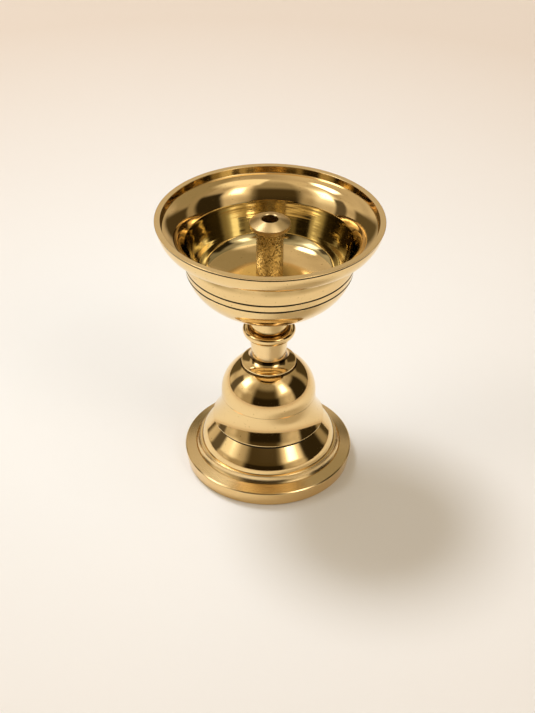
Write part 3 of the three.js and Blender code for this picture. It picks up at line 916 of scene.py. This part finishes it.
def onFootSide(spot):
    isOuter = spot.radius > foot["radius"] - foot["taper"] - margins["footTaper"]
    return isOuter and spot.height < foot["edge"] + margins["wall"]


def onHolderTop(spot):
    return spot.height > holderTop - margins["holderFace"]


def inWickHole(spot):
    return spot.radius < holder["wick"] + margins["wickWall"] and spot.height > padHeight + margins["wickFloor"]


# painted shade in the cove under the band, where the band's dark underside would be reflected
coveShadeRange = [(bandBottom - coveShadeLook[end]) * mm for end in ("low", "high")]
coveShaded = polishedBrass("coveShadedBrass", coveShadeHeights=coveShadeRange)
painting = (
    ("bowl", coveShaded, inCove),
    ("bowl", halfShaded, underCup),
    ("bowl", rippledShaded, onBowlWall),
    ("bowl", satinTurned, onLipTop),
    ("bowl", blackFillAndShadow, inGroove),
    ("neck_flange", blackFillAndShadow, underFlange),
    ("neck_flange", shaded, atNeckFoot),
    ("bell_dome", shaded, besideFlange),
    ("knop", halfShaded, inKnopValley),
    ("lower_bell", blackFillAndShadow, underSkirt),
    ("lower_bell", rough, facesInwards),
    ("bell_dome", rough, facesInwards),
    ("foot_plate", rough, facesInwards),
    ("foot_plate", footSide, onFootSide),
    ("wick_holder", holderFace, onHolderTop),
    ("wick_holder", satinTurned, inWickHole),
)
for node, material, wanted in painting:
    paintFaces(pieces[node], material, wanted)
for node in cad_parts.values():
    node.data.materials.clear()
    node.data.materials.append(polished)
print("finishes laid on")

# Floor and light
floorLook = {
    "tint": colour(0.93, 0.93, 0.92), "shade": colour(0.92, 0.91, 0.89), "paintedFalloffTint": colour(0.76, 0.66, 0.57),
    "size": 8, "mottleScale": 9, "grainScale": 900, "roughness": 0.9, "shine": 0.1,
    "bump": 0.15, "bumpDepth": 0.2,
    "pool": (-0.04, 0.05), "poolNear": 0.1, "poolFar": 0.5,  # a painted pool of light round this place: the floor darkens and warms further out
}


def paperFloor():
    look = floorLook
    finish = Finish("paperFloor")
    place = finish.place()
    mottle = finish.noise(place, look["mottleScale"], detail=4, roughness=0.6)
    grain = finish.noise(place, look["grainScale"], roughness=0.7)
    x, y, z = finish.split(place)
    # painted pool of light: the floor's colour goes darker away from the pool
    across, along = x - look["pool"][0], y - look["pool"][1]
    distance = (across * across + along * along) ** 0.5
    away = finish.node("MapRange", {0: distance, 1: look["poolNear"], 2: look["poolFar"]})
    paper = finish.mixColours(mottle, look["tint"], look["shade"])
    return finish.cover(
        base_color=finish.mixColours(away, paper, look["paintedFalloffTint"]),
        roughness=look["roughness"],
        specular_ior_level=look["shine"],
        normal=finish.bump(grain, look),
    )


deselectAll()
bpy.ops.mesh.primitive_plane_add(size=floorLook["size"])
floor = bpy.context.object
floor.name = "floor"
floor.data.materials.append(paperFloor())

lamp = {
    "towards": (-0.32, 0.335, 0.886), "distance": 3.2, "size": 1.0, "power": 50, "tint": (0.96, 0.985, 1.03),
}
lampData = bpy.data.lights.new("key", "AREA")
lampData.energy, lampData.size, lampData.color = lamp["power"], lamp["size"], lamp["tint"]
lampData.shape = "DISK"
light = bpy.data.objects.new("key", lampData)
bpy.context.scene.collection.objects.link(light)
direction = Vector(lamp["towards"]).normalized()
light.location = direction * lamp["distance"]
light.visible_glossy = False  # the window patches stand for it in the polished brass
light.rotation_mode = "QUATERNION"
light.rotation_quaternion = direction.to_track_quat("Z", "Y")

# The room: windows, lit walls and dark corners. Angles are degrees: turn runs from +X towards -Y.
room = {
    "wall": colour(0.44, 0.36, 0.26), "litWall": colour(0.72, 0.61, 0.46),  # blurred furniture and wall
    "clutterScale": 2.2, "clutterStops": ((0.33, 0), (0.67, 1)),
    "patches": (
        {"turn": 95, "rise": 30, "wide": 84, "tall": 96, "soft": 24, "light": colour(0.34, 0.28, 0.19)},
        {"turn": 99, "rise": 10, "wide": 62, "tall": 76, "soft": 16, "light": colour(0.065, 0.045, 0.019)},
        {"turn": 99, "rise": 6, "wide": 70, "tall": 36, "soft": 10, "light": colour(0.02, 0.013, 0.005)},
        {"turn": -35, "rise": 24, "wide": 50, "tall": 84, "soft": 12, "light": colour(0.36, 0.29, 0.19)},
        {"turn": -60, "rise": 52, "wide": 60, "tall": 30, "soft": 10, "light": colour(0.34, 0.28, 0.18)},
        {"turn": -52, "rise": 12, "wide": 42, "tall": 38, "soft": 8, "light": colour(0.07, 0.05, 0.022)},
        {"turn": 236, "rise": 12, "wide": 42, "tall": 34, "soft": 8, "light": colour(0.12, 0.09, 0.045)},
        {"turn": 4, "rise": 18, "wide": 42, "tall": 52, "soft": 10, "light": colour(0.03, 0.021, 0.009)},
        {"turn": 143, "rise": 4, "wide": 26, "tall": 44, "soft": 12, "light": colour(0.40, 0.32, 0.21)},
        {"turn": 15, "rise": 78, "wide": 110, "tall": 28, "soft": 12, "light": colour(1.2, 1.07, 0.86)},
        {"turn": 43, "rise": 48, "wide": 36, "tall": 40, "soft": 14, "light": colour(1.15, 1.0, 0.8)},
        {"turn": 43, "rise": 44, "wide": 18, "tall": 20, "soft": 9, "light": colour(3.5, 3.3, 3.0)},
        {"turn": 170, "rise": 41, "wide": 38, "tall": 40, "soft": 14, "light": colour(1.15, 1.05, 0.88)},
        {"turn": 171, "rise": 42, "wide": 22, "tall": 20, "soft": 9, "light": colour(3.3, 3.2, 3.1)},
        {"turn": 211, "rise": 61, "wide": 24, "tall": 14, "soft": 6, "light": colour(4.6, 4.6, 4.6)},
        {"turn": 190, "rise": 18, "wide": 18, "tall": 42, "soft": 6, "light": colour(0.12, 0.095, 0.065)},
    ),
}


def makeRoom():
    world = bpy.data.worlds.new("room")
    bpy.context.scene.world = world
    sky = Finish("room", world)
    heading = sky.node("TexCoord", output="Generated")
    x, y, z = sky.split(heading)
    degrees = 180 / math.pi
    rise = z.maths("ARCSINE", z) * degrees

    def within(offset, width, soft):
        inside = (offset.maths("ABSOLUTE", offset) * -1 + width / 2) * (1 / soft) + 0.5
        return sky.smoothStep(inside)

    clutter = sky.ramp(sky.noise(heading, room["clutterScale"], detail=1), room["clutterStops"])
    light = sky.mixColours(clutter, room["wall"], room["litWall"])
    for patch in room["patches"]:
        angle = math.radians(patch["turn"])
        ahead = x * math.cos(angle) + y * -math.sin(angle)
        aside = x * math.sin(angle) + y * math.cos(angle)
        turn = aside.maths("ARCTAN2", aside, ahead) * degrees
        across = within(turn, patch["wide"], patch["soft"])
        upright = within(rise - patch["rise"], patch["tall"], patch["soft"])
        light = sky.mixColours(across * upright, light, patch["light"])
    sky.node("OutputWorld", {"Surface": sky.node("Background", {"Color": light, "Strength": 1})})


makeRoom()
print("room lit")

bpy.context.scene.view_settings.view_transform = "Standard"

print("all pieces made")
